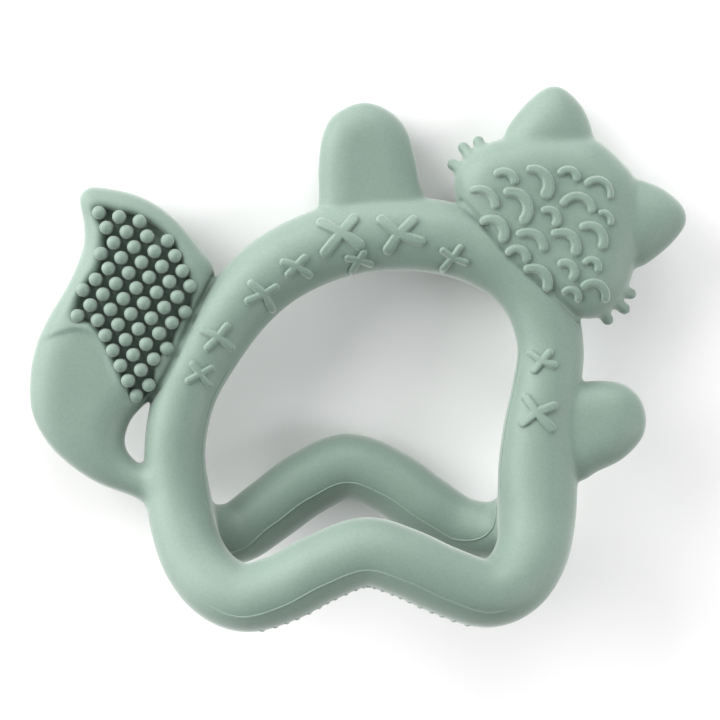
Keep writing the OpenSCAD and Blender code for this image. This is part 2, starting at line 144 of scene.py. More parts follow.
# The head lies on an axis that runs up to the right; u is along it towards the ears, v across it
HEAD_CENTRE = (30.6, 21.9)
HEAD_TURN = math.radians(45)
HEAD_HALF = [
    (16.9, 2.5), (16.0, 5.4), (11.5, 11.0), (5.6, 15.4), (1.5, 17.2), (-3.4, 17.2), (-6.6, 14.4),
    (-8.8, 9.0), (-9.8, 3.0),
]
EAR_OUTLINE = [
    (16.2, 4.4), (18.6, 9.0), (19.0, 13.2), (18.0, 15.6), (15.6, 16.6), (11.0, 16.7), (6.0, 15.4),
    (4.2, 10.6), (8.6, 6.0), (13.2, 3.4),
]
TUFT_TIPS = [(2.55, 17.95), (0.05, 19.0), (-3.2, 18.3)]
TUFT_ROOTS = [(0.8, 14.4), (-0.6, 14.6), (-2.3, 14.4)]
TUFT_TIP_R = 0.82
TUFT_ROOT_R = 1.5
TUFT_SPREAD = 2.6

TOP_PAW = [
    (-7.6, 19.0), (-6.9, 26.0), (-6.9, 32.2), (-6.2, 37.5), (-4.2, 40.9), (0.5, 42.9),
    (4.7, 41.6), (7.7, 38.4), (9.2, 33.6), (10.1, 29.0), (11.4, 25.0), (10.0, 19.0), (1.4, 16.5),
]
SIDE_PAW = [
    (33.0, -5.0), (37.6, -3.6), (41.3, -3.5), (44.2, -4.1), (46.3, -5.9), (47.4, -8.3),
    (47.6, -10.8), (46.6, -13.5), (43.5, -16.6), (39.4, -18.6), (36.2, -20.2), (32.6, -17.0),
    (31.6, -11.0),
]
TAIL = [
    (-43.7, 28.8), (-45.9, 28.2), (-46.6, 26.4), (-45.9, 22.5), (-46.1, 18.4), (-48.5, 12.6),
    (-51.6, 7.4), (-53.7, 2.8), (-54.8, -2.4), (-54.6, -8.4), (-52.3, -13.3), (-48.6, -17.2),
    (-43.8, -20.4), (-38.6, -22.4), (-35.4, -23.6), (-31.0, -23.4), (-31.6, -18.6),
    (-36.7, -17.3), (-39.1, -14.4), (-38.6, -10.8), (-36.4, -7.9), (-31.8, -4.0), (-27.8, 5.0),
    (-24.2, 14.0), (-27.2, 19.3), (-31.7, 24.3), (-37.2, 27.5),
]
# Step between the tail's smooth base and its brush, closed round the brush's side
STEP_LINE = [
    (-60.0, 1.0), (-53.4, 3.0), (-50.0, 4.3), (-47.0, 5.0), (-45.0, 4.7), (-43.5, 3.5),
    (-42.0, 0.7), (-40.5, -2.9), (-38.9, -5.7), (-36.6, -7.5), (-30.0, -9.0),
]
BRUSH_CORNERS = [(-20.0, -9.0), (-20.0, 40.0), (-60.0, 40.0)]
# The pocket's wall runs through the outermost pegs, which half stand in the rim
POCKET = [
    (-43.5, 24.9), (-42.2, 21.4), (-42.4, 18.2), (-42.9, 15.4), (-44.6, 12.9), (-46.1, 10.6),
    (-46.9, 7.1), (-44.3, 6.0), (-42.3, 3.8), (-39.8, -1.1), (-38.2, -5.0), (-36.9, -6.4),
    (-34.5, -4.3), (-33.6, 0.0), (-31.4, 2.2), (-30.2, 5.9), (-28.4, 8.1), (-27.8, 12.1),
    (-28.9, 14.9), (-31.3, 20.0), (-36.0, 23.4), (-39.8, 24.5),
]

FIRST_PEG = np.array((-43.05, 24.3))
PEG_ROW_TILT = math.radians(-12.1)
PEG_STEP_TILT = math.radians(-63.5)
# Each row's first place and number of pegs
PEG_ROWS = [
    (0, 3), (0, 4), (0, 4), (-1, 5), (-1, 5), (-2, 5), (-3, 6), (-3, 5), (-4, 5), (-3, 4),
    (-3, 3), (-3, 2), (-3, 2), (-3, 1),
]

# Stitch crosses: centre, the ends of the four arms from it, and half the width of a stroke
STITCHES = [
    ((-3.0, 20.9), [(-3.3, 1.6), (2.0, 2.3), (-2.7, -3.3), (2.9, -2.0)], 0.81),
    ((6.3, 20.6), [(-2.8, 2.4), (2.4, 2.3), (-1.7, -2.5), (3.6, -1.2)], 0.76),
    ((-0.2, 16.4), [(-1.8, 0.3), (0.8, 1.2), (-1.1, -1.8), (1.9, -0.6)], 0.47),
    ((15.2, 16.8), [(-1.6, 1.1), (1.2, 1.6), (-1.5, -1.8), (2.1, -0.8)], 0.47),
    ((-10.4, 15.4), [(-2.1, 0.6), (1.3, 1.3), (-1.3, -1.4), (2.0, -1.4)], 0.58),
    ((-15.6, 10.8), [(-2.2, 1.7), (1.8, 1.1), (-2.7, -1.1), (1.1, -2.4)], 0.58),
    ((-23.2, 3.8), [(-2.6, 1.0), (1.4, 1.7), (-1.8, -1.8), (2.0, -1.8)], 0.58),
    ((-26.2, -2.3), [(-1.3, 1.6), (1.8, 0.9), (-2.0, -1.1), (1.4, -1.7)], 0.50),
    ((29.8, -0.2), [(-1.7, 1.3), (1.3, 1.4), (-1.2, -1.5), (2.0, -0.6)], 0.56),
    ((28.9, -8.6), [(-1.6, 2.4), (2.8, 1.0), (-2.2, -1.7), (2.5, -2.5)], 0.69),
]

# Fur strokes: start, middle and end of each, and half its width at the start and at the end
FUR_STROKES = [
    ((22.4, 30.5), (23.9, 30.9), (25.3, 29.2), 0.58, 0.64),
    ((27.6, 31.2), (30.6, 30.2), (30.4, 27.0), 0.58, 0.96),
    ((32.8, 30.6), (34.1, 31.3), (35.5, 29.6), 0.54, 0.58),
    ((37.1, 28.8), (38.9, 29.8), (40.9, 26.5), 0.58, 0.41),
    ((18.3, 27.8), (20.7, 27.9), (22.1, 25.1), 0.54, 0.64),
    ((23.9, 27.4), (27.6, 25.8), (26.7, 22.7), 0.70, 0.83),
    ((30.0, 24.4), (31.5, 24.6), (32.0, 22.2), 0.54, 0.64),
    ((33.2, 25.5), (35.5, 27.1), (38.0, 24.3), 0.64, 0.58),
    ((39.3, 24.1), (40.3, 24.1), (41.0, 22.3), 0.41, 0.45),
    ((20.1, 22.7), (22.8, 22.9), (23.4, 19.8), 0.61, 0.79),
    ((26.0, 20.5), (28.2, 21.0), (30.0, 18.1), 0.64, 0.64),
    ((31.7, 20.6), (34.9, 20.3), (35.2, 17.5), 0.64, 0.74),
    ((36.3, 21.7), (38.6, 22.0), (39.6, 18.5), 0.61, 0.70),
    ((24.3, 17.6), (26.2, 18.3), (27.3, 16.4), 0.58, 0.61),
    ((27.3, 14.9), (29.8, 14.8), (30.7, 11.8), 0.64, 0.77),
    ((32.8, 15.7), (34.5, 15.8), (34.8, 13.4), 0.58, 0.64),
    ((36.8, 15.9), (38.2, 16.5), (38.9, 14.7), 0.49, 0.54),
    ((33.5, 11.1), (34.8, 11.7), (35.8, 9.9), 0.49, 0.51),
    ((36.6, 12.0), (38.7, 12.8), (40.3, 9.9), 0.61, 0.64),
]
# Fur beside the face on the back, in the head's frame: u, v, half the width of the arc
BACK_FUR = [
    (11.0, 0, 1.5), (7.8, 3.2, 1.1), (7.8, -3.2, 1.1), (0.2, 10.6, 1.1), (0.2, -10.6, 1.1),
    (-3.2, 10.2, 1.0), (-3.2, -10.2, 1.0),
]
# Deep creases where the head and the tail meet the arch: x, y along each, and how deep they go
CREASES = [
    [(16.8, 26.2), (20.0, 22.6), (24.2, 17.6), (28.2, 13.8), (32.0, 10.4), (36.2, 6.4)],
    [(-24.2, 14.4), (-27.0, 8.0), (-29.2, 3.3), (-30.9, -0.5), (-33.0, -4.2), (-35.6, -7.6)],
]
CREASE_R = 0.5
EYE_U = 3.6
EYE_V = 6.4
EYE_R = 2.2
NOSE_U = -4.6
NOSE_R = 1.7

SILICONE = (0.150, 0.219, 0.181)
BLOOM = (0.48, 0.54, 0.50)

CAMERA_DISTANCE = 0.373
CAMERA_LENS = 112
WHITE = (1.0, 1.0, 1.0)


# ---- Curves and flat shapes ----

def smooth_curve(points, steps, closed=False):
    """Catmull-Rom curve through points of any dimension."""
    p = np.array(points, float)
    n = len(p)
    spans = n if closed else n - 1
    index = (lambda i: i % n) if closed else (lambda i: min(max(i, 0), n - 1))
    out = []
    for i in range(spans):
        a, b, c, d = (p[index(i + k)] for k in (-1, 0, 1, 2))
        for t in np.arange(steps) / steps:
            out.append(0.5 * (2 * b + (c - a) * t + (2 * a - 5 * b + 4 * c - d) * t ** 2
                              + (3 * b - a - 3 * c + d) * t ** 3))
    if not closed:
        out.append(p[-1])
    return np.array(out)


def to_ring(u, v):
    """From the head's own frame to the ring's."""
    c, s = math.cos(HEAD_TURN), math.sin(HEAD_TURN)
    return HEAD_CENTRE[0] + u * c - v * s, HEAD_CENTRE[1] + u * s + v * c


def outline_distance(x, y, outline):
    """Signed distance to a closed outline, negative inside."""
    best = np.full(np.broadcast(x, y).shape, FAR ** 2, np.float32)
    inside = np.zeros(best.shape, bool)
    for (px, py), (qx, qy) in zip(outline, np.roll(outline, -1, axis=0)):
        ex, ey = qx - px, qy - py
        t = np.clip(((x - px) * ex + (y - py) * ey) / (ex * ex + ey * ey), 0, 1)
        best = np.minimum(best, (x - px - t * ex) ** 2 + (y - py - t * ey) ** 2)
        if py != qy:
            inside ^= ((py > y) != (qy > y)) & (x < ex * (y - py) / ey + px)
    return np.where(inside, -1, 1) * np.sqrt(best)


def stroke_distance(x, y, line):
    """Signed distance to a flat stroke along a line of x, y, half width."""
    best = np.full(np.broadcast(x, y).shape, FAR, np.float32)
    for (px, py, pr), (qx, qy, qr) in zip(line[:-1], line[1:]):
        ex, ey = qx - px, qy - py
        t = np.clip(((x - px) * ex + (y - py) * ey) / max(ex * ex + ey * ey, 1e-9), 0, 1)
        gap = np.hypot(x - px - t * ex, y - py - t * ey) - (pr + (qr - pr) * t)
        best = np.minimum(best, gap)
    return best


def softened(field, passes):
    """A flat field with its creases smoothed away."""
    for _ in range(passes):
        for axis in (0, 1):
            pad = [(1, 1) if a == axis else (0, 0) for a in (0, 1)]
            wide = np.pad(field, pad, mode="edge")
            ends = np.take(wide, range(0, field.shape[axis]), axis)
            later = np.take(wide, range(2, field.shape[axis] + 2), axis)
            field = 0.5 * field + 0.25 * (ends + later)
    return field


def blend_in(a, b, soft):
    """Union of two fields with a fillet."""
    h = np.maximum(soft - np.abs(a - b), 0) / soft
    return np.minimum(a, b) - h * h * soft * 0.25


def cut_out(a, b, soft):
    """What two fields share, with a rounded edge."""
    return -blend_in(-a, -b, soft)


def smooth_step(value, low, high):
    """Rises from 0 at low to 1 at high with level ends."""
    t = np.clip((value - low) / (high - low), 0, 1)
    return t * t * (3 - 2 * t)


# ---- Distance fields and their surfaces ----

class Grid:
    """Evenly spaced sample points in a box."""

    def __init__(self, low, high, step):
        self.low = np.array(low, float)
        self.step = step
        self.count = np.ceil((np.array(high, float) - self.low) / step).astype(int) + 1
        axes = [(self.low[i] + step * np.arange(self.count[i])).astype(np.float32) for i in range(3)]
        self.x = axes[0][:, None, None]
        self.y = axes[1][None, :, None]
        self.z = axes[2][None, None, :]

    def window(self, low, high):
        """Slices that cover a smaller box."""
        first = np.floor((np.array(low) - self.low) / self.step).astype(int)
        last = np.ceil((np.array(high) - self.low) / self.step).astype(int) + 1
        first = np.clip(first, 0, self.count)
        last = np.clip(last, 0, self.count)
        return tuple(slice(a, b) for a, b in zip(first, last))

    def sample(self, fields, points):
        """Values of each field at any points, between the sample points."""
        place = (points - self.low) / self.step
        base = np.clip(np.floor(place).astype(int), 0, self.count - 2)
        t = place - base
        total = [0.0] * len(fields)
        for corner in itertools.product((0, 1), repeat=3):
            share = np.prod(np.where(corner, t, 1 - t), axis=1)
            i, j, k = (base + corner).T
            for n, field in enumerate(fields):
                total[n] = total[n] + share * field[i, j, k]
        return np.array(total).T


def tube_field(grid, path):
    """Distance to a round tube along a path of x, y, z, radius."""
    field = np.full(grid.count, FAR, np.float32)
    for p, q in zip(path[:-1], path[1:]):
        reach = max(p[3], q[3]) + BAND
        w = grid.window(np.minimum(p, q)[:3] - reach, np.maximum(p, q)[:3] + reach)
        dx, dy, dz = grid.x[w[0]] - p[0], grid.y[:, w[1]] - p[1], grid.z[:, :, w[2]] - p[2]
        e = (q - p)[:3]
        t = np.clip((dx * e[0] + dy * e[1] + dz * e[2]) / max(e @ e, 1e-9), 0, 1)
        gap = np.sqrt((dx - t * e[0]) ** 2 + (dy - t * e[1]) ** 2 + (dz - t * e[2]) ** 2)
        field[w] = np.minimum(field[w], gap - (p[3] + t * (q[3] - p[3])))
    return field


def plate_field(grid, flat, face_t, rim, power=2.0):
    """Distance to a plate whose faces curve down to its outline over the width rim.
    flat is the flat distance to the outline over x and y, and face_t how far the front and the
    back stand out, each a number or given over x and y."""
    near = np.argwhere(flat < BAND)
    (x0, y0), (x1, y1) = near.min(0), near.max(0) + 1
    a = np.maximum(flat[x0:x1, y0:y1] / rim + 1, 0)[:, :, None]
    front, back = (np.broadcast_to(t, flat.shape)[x0:x1, y0:y1][:, :, None] for t in face_t)
    thick = np.where(grid.z > 0, front, back)
    b = np.abs(grid.z) / thick
    rho = np.maximum((a ** power + b ** power) ** (1 / power), 1e-3)
    slope = np.hypot((a / rho) ** (power - 1) / rim, (b / rho) ** (power - 1) / thick)
    field = np.full(grid.count, FAR, np.float32)
    field[x0:x1, y0:y1] = (rho - 1) / np.maximum(slope, 1e-3)
    return field


def plate_top(flat, half_t, rim, power=2.0):
    """Height of a plate's face over x and y."""
    a = np.clip(flat / rim + 1, 0, 1)
    return half_t * (1 - a ** power) ** (1 / power)


def surface_net(grid, field):
    """Points and four-sided faces of a field's zero surface, facing out."""
    inside = field < 0
    corners = list(itertools.product((0, 1), repeat=3))
    count = sum(inside[a:a + grid.count[0] - 1, b:b + grid.count[1] - 1, c:c + grid.count[2] - 1]
                .astype(np.int8) for a, b, c in corners)
    mixed = (count > 0) & (count < 8)
    cells = np.argwhere(mixed)
    index = np.full(mixed.shape, -1, np.int64)
    index[mixed] = np.arange(len(cells))
    total = np.zeros((len(cells), 3))
    hits = np.zeros(len(cells))
    for a, b in itertools.combinations(corners, 2):
        a, b = np.array(a), np.array(b)
        if np.abs(a - b).sum() != 1:
            continue
        va = field[tuple((cells + a).T)]
        vb = field[tuple((cells + b).T)]
        crossed = (va < 0) != (vb < 0)
        t = np.where(crossed, va / np.where(crossed, va - vb, 1), 0)
        total += np.where(crossed[:, None], a + t[:, None] * (b - a), 0)
        hits += crossed
    points = grid.low + grid.step * (cells + total / hits[:, None])
    faces = []
    for axis in range(3):
        u, v = (axis + 1) % 3, (axis + 2) % 3
        lower = [slice(None)] * 3
        upper = [slice(None)] * 3
        lower[axis], upper[axis] = slice(None, -1), slice(1, None)
        first, second = inside[tuple(lower)], inside[tuple(upper)]
        edge = np.argwhere(first != second)
        edge = edge[(edge[:, u] > 0) & (edge[:, v] > 0)]
        edge = edge[(edge[:, u] < mixed.shape[u]) & (edge[:, v] < mixed.shape[v])]
        out = first[tuple(edge.T)]
        quad = []
        for du, dv in ((0, 0), (-1, 0), (-1, -1), (0, -1)):
            cell = edge.copy()
            cell[:, u] += du
            cell[:, v] += dv
            quad.append(index[tuple(cell.T)])
        quad = np.array(quad).T
        quad[~out] = quad[~out][:, ::-1]
        faces.append(quad)
    return points, np.vstack(faces)


def settle(grid, field, slopes, points, rounds=3):
    """Moves points onto a field's zero surface and returns them with the surface's normals."""
    for _ in range(rounds):
        value, *slope = grid.sample([field, *slopes], points).T
        slope = np.array(slope).T
        size = np.maximum((slope ** 2).sum(1), 0.05)
        points = points - (value / size)[:, None] * slope
    slope = grid.sample(slopes, points)
    return points, slope / np.linalg.norm(slope, axis=1)[:, None]


# ---- Blender pieces ----

def place(points):
    """From the ring's own frame in millimetres to the laid-down part's in metres."""
    turned = np.asarray(points) @ np.array(LAID_DOWN).T
    return (turned + np.array(REST_SHIFT)) * MM


def add_piece(name, points, faces, normals=None, replaced=(), material=None):
    mesh = bpy.data.meshes.new(name)
    mesh.from_pydata(place(points), [], faces if isinstance(faces, list) else faces.tolist())
    mesh.validate()
    mesh.shade_smooth()
    if normals is not None:
        mesh.normals_split_custom_set_from_vertices(np.asarray(normals) @ np.array(LAID_DOWN).T)
    mesh.materials.append(material)
    piece = bpy.data.objects.new(name, mesh)
    bpy.context.scene.collection.objects.link(piece)
    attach(piece, "root")
    if replaced:
        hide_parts(*replaced)
    return piece


def join_shapes(shapes):
    """One list of points and faces from several."""
    points, faces, start = [], [], 0
    for p, f in shapes:
        points.append(p)
        own = f if isinstance(f, list) else f.tolist()
        faces += [[i + start for i in face] for face in own]
        start += len(p)
    return np.vstack(points), faces


# ---- The skin ----

skin_grid = Grid((-58, -48, -18.4), (57.5, 48.5, 18.4), SKIN_STEP)
flat_x, flat_y = skin_grid.x[:, :, 0], skin_grid.y[:, :, 0]


def flat_shape(points, soften, steps=6):
    """Flat distance over the skin's grid to a smooth loop through points, with no ridges inside."""
    edge = softened(outline_distance(flat_x, flat_y, smooth_curve(points, steps, closed=True)), soften)
    share = smooth_step(-edge, 0.4, 3.0)
    return edge * (1 - share) + softened(edge, 16) * share


def head_shapes():
    half = list(HEAD_HALF)
    outline = [to_ring(u, v) for u, v in half + [(u, -v) for u, v in reversed(half)]]
    head = plate_field(skin_grid, flat_shape(outline, 4), (HEAD_FRONT_T, HEAD_BACK_T), HEAD_RIM, 2.3)
    ears = []
    for side in (1, -1):
        ear = flat_shape([to_ring(u, side * v) for u, v in EAR_OUTLINE], 4)
        ears.append(plate_field(skin_grid, ear, (EAR_FRONT_T, EAR_BACK_T), EAR_RIM, 2.0))
    tufts = []
    for side in (1, -1):
        field = None
        for tip, root in zip(TUFT_TIPS, TUFT_ROOTS):
            for face in (1, -1):
                line = np.array([
                    (*to_ring(tip[0], side * tip[1]), 0.0, TUFT_TIP_R),
                    (*to_ring(root[0], side * root[1]), face * TUFT_SPREAD, TUFT_ROOT_R)])
                one = tube_field(skin_grid, line)
                field = one if field is None else blend_in(field, one, 0.5)
        tufts.append(field)
    return head, ears, tufts


def tail_shapes():
    flat = flat_shape(TAIL, 2, steps=8)
    border = np.vstack([smooth_curve(STEP_LINE, 6), BRUSH_CORNERS])
    beyond = softened(outline_distance(flat_x, flat_y, border), 1)
    raised = 1 - smooth_step(beyond, -0.25, 0.25)
    half_t = (TAIL_T - TAIL_STEP * (1 - raised)).astype(np.float32)
    tail = plate_field(skin_grid, flat, (half_t, half_t), TAIL_RIM, 2.3)
    top = plate_top(flat, half_t, TAIL_RIM, 2.3)
    pocket = flat_shape(POCKET, 1)
    floor = np.abs(skin_grid.z) - (top - POCKET_DEPTH)[:, :, None]
    solid = blend_in(np.broadcast_to(-pocket[:, :, None], floor.shape), floor, 1.0)
    cut = cut_out(tail, solid.astype(np.float32), 1.8)
    near = (pocket < 3)[:, :, None]
    return np.where(near, cut, tail), beyond, top


def build_skin():
    loop_path = smooth_curve(LOOP_LINE, 12, closed=True)
    loop = tube_field(skin_grid, np.vstack([loop_path, loop_path[:1]]))
    rear = tube_field(skin_grid, smooth_curve(REAR_LINE, 12))
    top_flat = flat_shape(TOP_PAW, 3)
    side_flat = flat_shape(SIDE_PAW, 4)
    top_t = TOP_PAW_T + TOP_PAW_FLARE * (flat_y - TOP_PAW_MIDDLE)
    top_paw = plate_field(skin_grid, top_flat, (top_t, top_t), TOP_PAW_RIM, 2.2)
    side_paw = plate_field(skin_grid, side_flat, (SIDE_PAW_T, SIDE_PAW_T), SIDE_PAW_RIM, 2.2)
    head, ears, tufts = head_shapes()
    tail, beyond_step, tail_top = tail_shapes()

    skin = blend_in(loop, rear, 2.0)
    skin = blend_in(skin, top_paw, 0.7)
    skin = blend_in(skin, side_paw, 0.9)
    fox = head
    for ear in ears:
        fox = blend_in(fox, ear, 1.0)
    for tuft in tufts:
        fox = blend_in(fox, tuft, 0.7)
    skin = blend_in(skin, fox, 0.35)
    root_soft = 0.5 + 1.2 * (1 - smooth_step(skin_grid.y, -20.0, -12.0))
    skin = blend_in(skin, tail, root_soft.astype(np.float32))
    for line in CREASES:
        places = smooth_curve(line, 8)
        for side in (1, -1):
            heights = top_heights(skin, places, side)
            groove = [(x, y, side * h, CREASE_R) for (x, y), h in zip(places, heights) if h > 0]
            skin = cut_out(skin, -tube_field(skin_grid, np.array(groove)), 0.5)
    parts = {
        "loop": loop, "rear_bar": rear, "fox_head": head, "upper_ear": ears[0],
        "side_ear": ears[1], "upper_cheek_tuft": tufts[0], "lower_cheek_tuft": tufts[1],
        "top_paw": top_paw, "side_paw": side_paw, "tail": tail,
    }
    return skin, parts, beyond_step, tail_top


def close_holes(faces, points, normals):
    """Adds a fan over each open edge loop of a piece cut from the skin, inside the ring."""
    following = {}
    edges = Counter()
    for face in faces:
        edges.update(zip(face, face[1:] + face[:1]))
    for (a, b), times in edges.items():
        following.setdefault(b, []).extend([a] * (times - edges.get((b, a), 0)))
    following = {b: onward for b, onward in following.items() if onward}
    points, normals = list(points), list(normals)
    while following:
        start = next(iter(following))
        loop = [start]
        while True:
            here = loop[-1]
            onward = following[here].pop()
            if not following[here]:
                del following[here]
            if onward == start:
                break
            loop.append(onward)
        hub = len(points)
        points.append(np.mean([points[i] for i in loop], axis=0))
        normals.append(np.mean([normals[i] for i in loop], axis=0))
        faces += [[a, b, hub] for a, b in zip(loop, loop[1:] + loop[:1])]
    return faces, np.array(points), np.array(normals)


def without_specks(owners, faces):
    """Gives each face that stands alone in its piece to the piece beside it."""
    edges = np.sort(np.stack([faces, np.roll(faces, -1, axis=1)], axis=2).reshape(-1, 2), axis=1)
    order = np.lexsort((edges[:, 1], edges[:, 0]))
    one, other = order[0::2], order[1::2]
    across = np.empty(len(edges), int)
    across[one], across[other] = other // 4, one // 4
    beside = owners[across.reshape(-1, 4)]
    alone = (beside != owners[:, None]).all(axis=1)
    return np.where(alone, beside[:, 0], owners)


def cut_skin(points, faces, normals, parts, beyond_step, material):
    """Shares the skin out between the moulded features, each of which stands for its CAD node."""
    centres = points[faces].mean(axis=1)
    names = list(parts)
    owner = skin_grid.sample([parts[n] for n in names], centres).argmin(axis=1)
    flat_place = ((centres[:, :2] - skin_grid.low[:2]) / SKIN_STEP).round().astype(int)
    past_step = beyond_step[flat_place[:, 0], flat_place[:, 1]] > 0
    above_feet = centres[:, 1] > FOOT_Y
    owners = np.array(names, dtype="U24")[owner]
    owners[(owners == "loop") & above_feet] = "ring_arch"
    owners[owners == "loop"] = "front_bar"
    owners[(owners == "tail") & past_step] = "tail_base"
    owners[owners == "tail"] = "tail_brush"
    owners = without_specks(owners, faces)
    for name in sorted(set(owners)):
        mine = faces[owners == name]
        used, local = np.unique(mine, return_inverse=True)
        mine = local.reshape(mine.shape).tolist()
        closed, own_points, own_normals = close_holes(mine, points[used], normals[used])
        add_piece(name + "_skin", own_points, closed, own_normals, [name], material)


# ---- Reliefs on the skin ----

def top_heights(skin, places, side):
    """Height of the skin's face over each place, or 0 beside it."""
    z = side * np.arange(0, MOST_HEIGHT, HEIGHT_STEP)
    points = np.array([(x, y, h) for x, y in places for h in z])
    inside = skin_grid.sample([skin], points)[:, 0].reshape(len(places), len(z)) < 0
    highest = len(z) - 1 - inside[:, ::-1].argmax(axis=1)
    return np.where(inside.any(axis=1), HEIGHT_STEP * highest, 0)


def relief(skin, flat, box, side, rise):
    """A low raised shape with rounded edges that follows the skin.
    flat(x, y) is the flat distance to its outline and box its least x and y and greatest x and y."""
    x0, y0, x1, y1 = box
    spots = [(x, y) for x in np.linspace(x0, x1, 5) for y in np.linspace(y0, y1, 5)]
    heights = top_heights(skin, spots, side)
    low, high = max(heights.min() - 0.8, 0.2), heights.max() + 1.0
    z0, z1 = (low, high) if side > 0 else (-high, -low)
    grid = Grid((x0 - 0.5, y0 - 0.5, z0), (x1 + 0.5, y1 + 0.5, z1), RELIEF_STEP)
    points = np.stack(np.broadcast_arrays(grid.x, grid.y, grid.z), axis=-1).reshape(-1, 3)
    above = skin_grid.sample([skin], points)[:, 0].reshape(grid.count)
    foot = RELIEF_FOOT * np.exp(-(np.maximum(above, 0) / FOOT_HEIGHT) ** 2)
    sides = flat(grid.x, grid.y) - foot
    field = cut_out(np.broadcast_to(sides, above.shape), above - rise, RELIEF_ROUND)
    field = np.maximum(field, -(above + RELIEF_SINK)).astype(np.float32)
    for axis in range(3):
        ends = [slice(None)] * 3
        ends[axis] = [0, -1]
        field[tuple(ends)] = 1
    return surface_net(grid, field)


def stamp_box(line, extra=0.3):
    """Flat box round a stroke's points."""
    line = np.array(line)
    grow = line[:, 2:3] + extra
    return (*(line[:, :2] - grow).min(0), *(line[:, :2] + grow).max(0))


def stroke_relief(skin, strokes, side, rise):
    every = [p for line in strokes for p in line]

    def flat(x, y):
        return np.minimum.reduce([stroke_distance(x, y, line) for line in strokes])
    return relief(skin, flat, stamp_box(every), side, rise)


def bent_stroke(start, middle, end, first_r, last_r, steps=10):
    """Points of a stroke along the round arc from start through middle to end."""
    a, m, b = (complex(*p) for p in (start, middle, end))
    m += 0.12 * ((a + b) / 2 - m)
    w = (b - a) / (m - a)
    hub = a + (m - a) * (w - abs(w) ** 2) / (w - w.conjugate())
    span = cmath.phase((m - hub) / (a - hub)) + cmath.phase((b - hub) / (m - hub))
    places = [hub + (a - hub) * cmath.exp(1j * span * t) for t in np.linspace(0.04, 0.96, steps + 1)]
    widths = np.linspace(first_r, last_r, steps + 1)
    return [(z.real, z.imag, r) for z, r in zip(places, widths)]


def arc_stroke(u, v, radius, middle_deg, sweep_deg, half_w):
    """Points of a round arc in the head's frame, for the back of the head."""
    angles = np.radians(middle_deg + sweep_deg * np.linspace(-0.5, 0.5, 9))
    return [(*to_ring(u + radius * math.cos(a), v + radius * math.sin(a)), half_w) for a in angles]


def make_stitches(skin, material):
    for side, name in ((1, "front_stitches"), (-1, "back_stitches")):
        shapes = []
        for (x, y), arms, half_w in STITCHES:
            strokes = [[(x, y, 0.95 * half_w), (x + ax, y + ay, half_w)] for ax, ay in arms]
            shapes.append(stroke_relief(skin, strokes, side, STITCH_RISE))
        add_piece(name + "_relief", *join_shapes(shapes), None, [name], material)


def make_fur(skin, material):
    shapes = [stroke_relief(skin, [bent_stroke(*stroke)], 1, FUR_RISE) for stroke in FUR_STROKES]
    add_piece("fur_strokes", *join_shapes(shapes), None, ["fur_arcs"], material)
    back = [[arc_stroke(EYE_U, s * EYE_V, EYE_R, 180, 150, 0.5)] for s in (1, -1)]
    back += [[arc_stroke(u, v, r, 0, 140, 0.5)] for u, v, r in BACK_FUR]
    back.append([[(*to_ring(NOSE_U + 0.3, -0.7), NOSE_R * 0.7), (*to_ring(NOSE_U + 0.3, 0.7), NOSE_R * 0.7)],
                 [(*to_ring(NOSE_U, 0), NOSE_R * 0.8), (*to_ring(NOSE_U - 0.9, 0), NOSE_R * 0.5)]])
    shapes = [stroke_relief(skin, strokes, -1, FUR_RISE) for strokes in back]
    add_piece("face_strokes", *join_shapes(shapes), None, ["face_relief"], material)


def peg_places():
    """Slanted rows on a staggered lattice."""
    along = np.array((math.cos(PEG_ROW_TILT), math.sin(PEG_ROW_TILT))) * PEG_PITCH
    down = np.array((math.cos(PEG_STEP_TILT), math.sin(PEG_STEP_TILT))) * PEG_ROW_STEP
    return [FIRST_PEG + (first + k) * along + row * down
            for row, (first, number) in enumerate(PEG_ROWS) for k in range(number)]


def peg_shape(x, y, top, side, sides=24):
    """Short peg with a flared foot and a round head."""
    foot, head = top - POCKET_DEPTH - 0.5, top + PEG_RISE
    profile = [(PEG_R + 0.2, foot), (PEG_R + 0.15, foot + 0.5), (PEG_R + 0.03, foot + 0.8),
               (PEG_R, foot + 1.1)]
    profile += [(PEG_R * math.cos(a), head - PEG_HEAD * (1 - math.sin(a)))
                for a in np.radians((0, 16, 32, 48, 62, 74, 84))]
    points, faces = [], []
    angles = 2 * math.pi * np.arange(sides) / sides
    for r, z in profile:
        points += [(x + r * math.cos(a), y + r * math.sin(a), side * z) for a in angles]
    rings = len(profile)
    for i in range(rings - 1):
        for k in range(sides):
            n = (k + 1) % sides
            faces.append([i * sides + k, i * sides + n, (i + 1) * sides + n, (i + 1) * sides + k])
    faces.append([(rings - 1) * sides + k for k in range(sides)])
    faces.append(list(range(sides))[::-1])
    if side < 0:
        faces = [face[::-1] for face in faces]
    return np.array(points), faces


def make_pegs(tail_top, material):
    for side, name in ((1, "front_pegs"), (-1, "back_pegs")):
        shapes = []
        for x, y in peg_places():
            i, j = np.round((np.array((x, y)) - skin_grid.low[:2]) / SKIN_STEP).astype(int)
            shapes.append(peg_shape(x, y, tail_top[i, j], side))
        add_piece(name + "_domed", *join_shapes(shapes), None, [name], material)


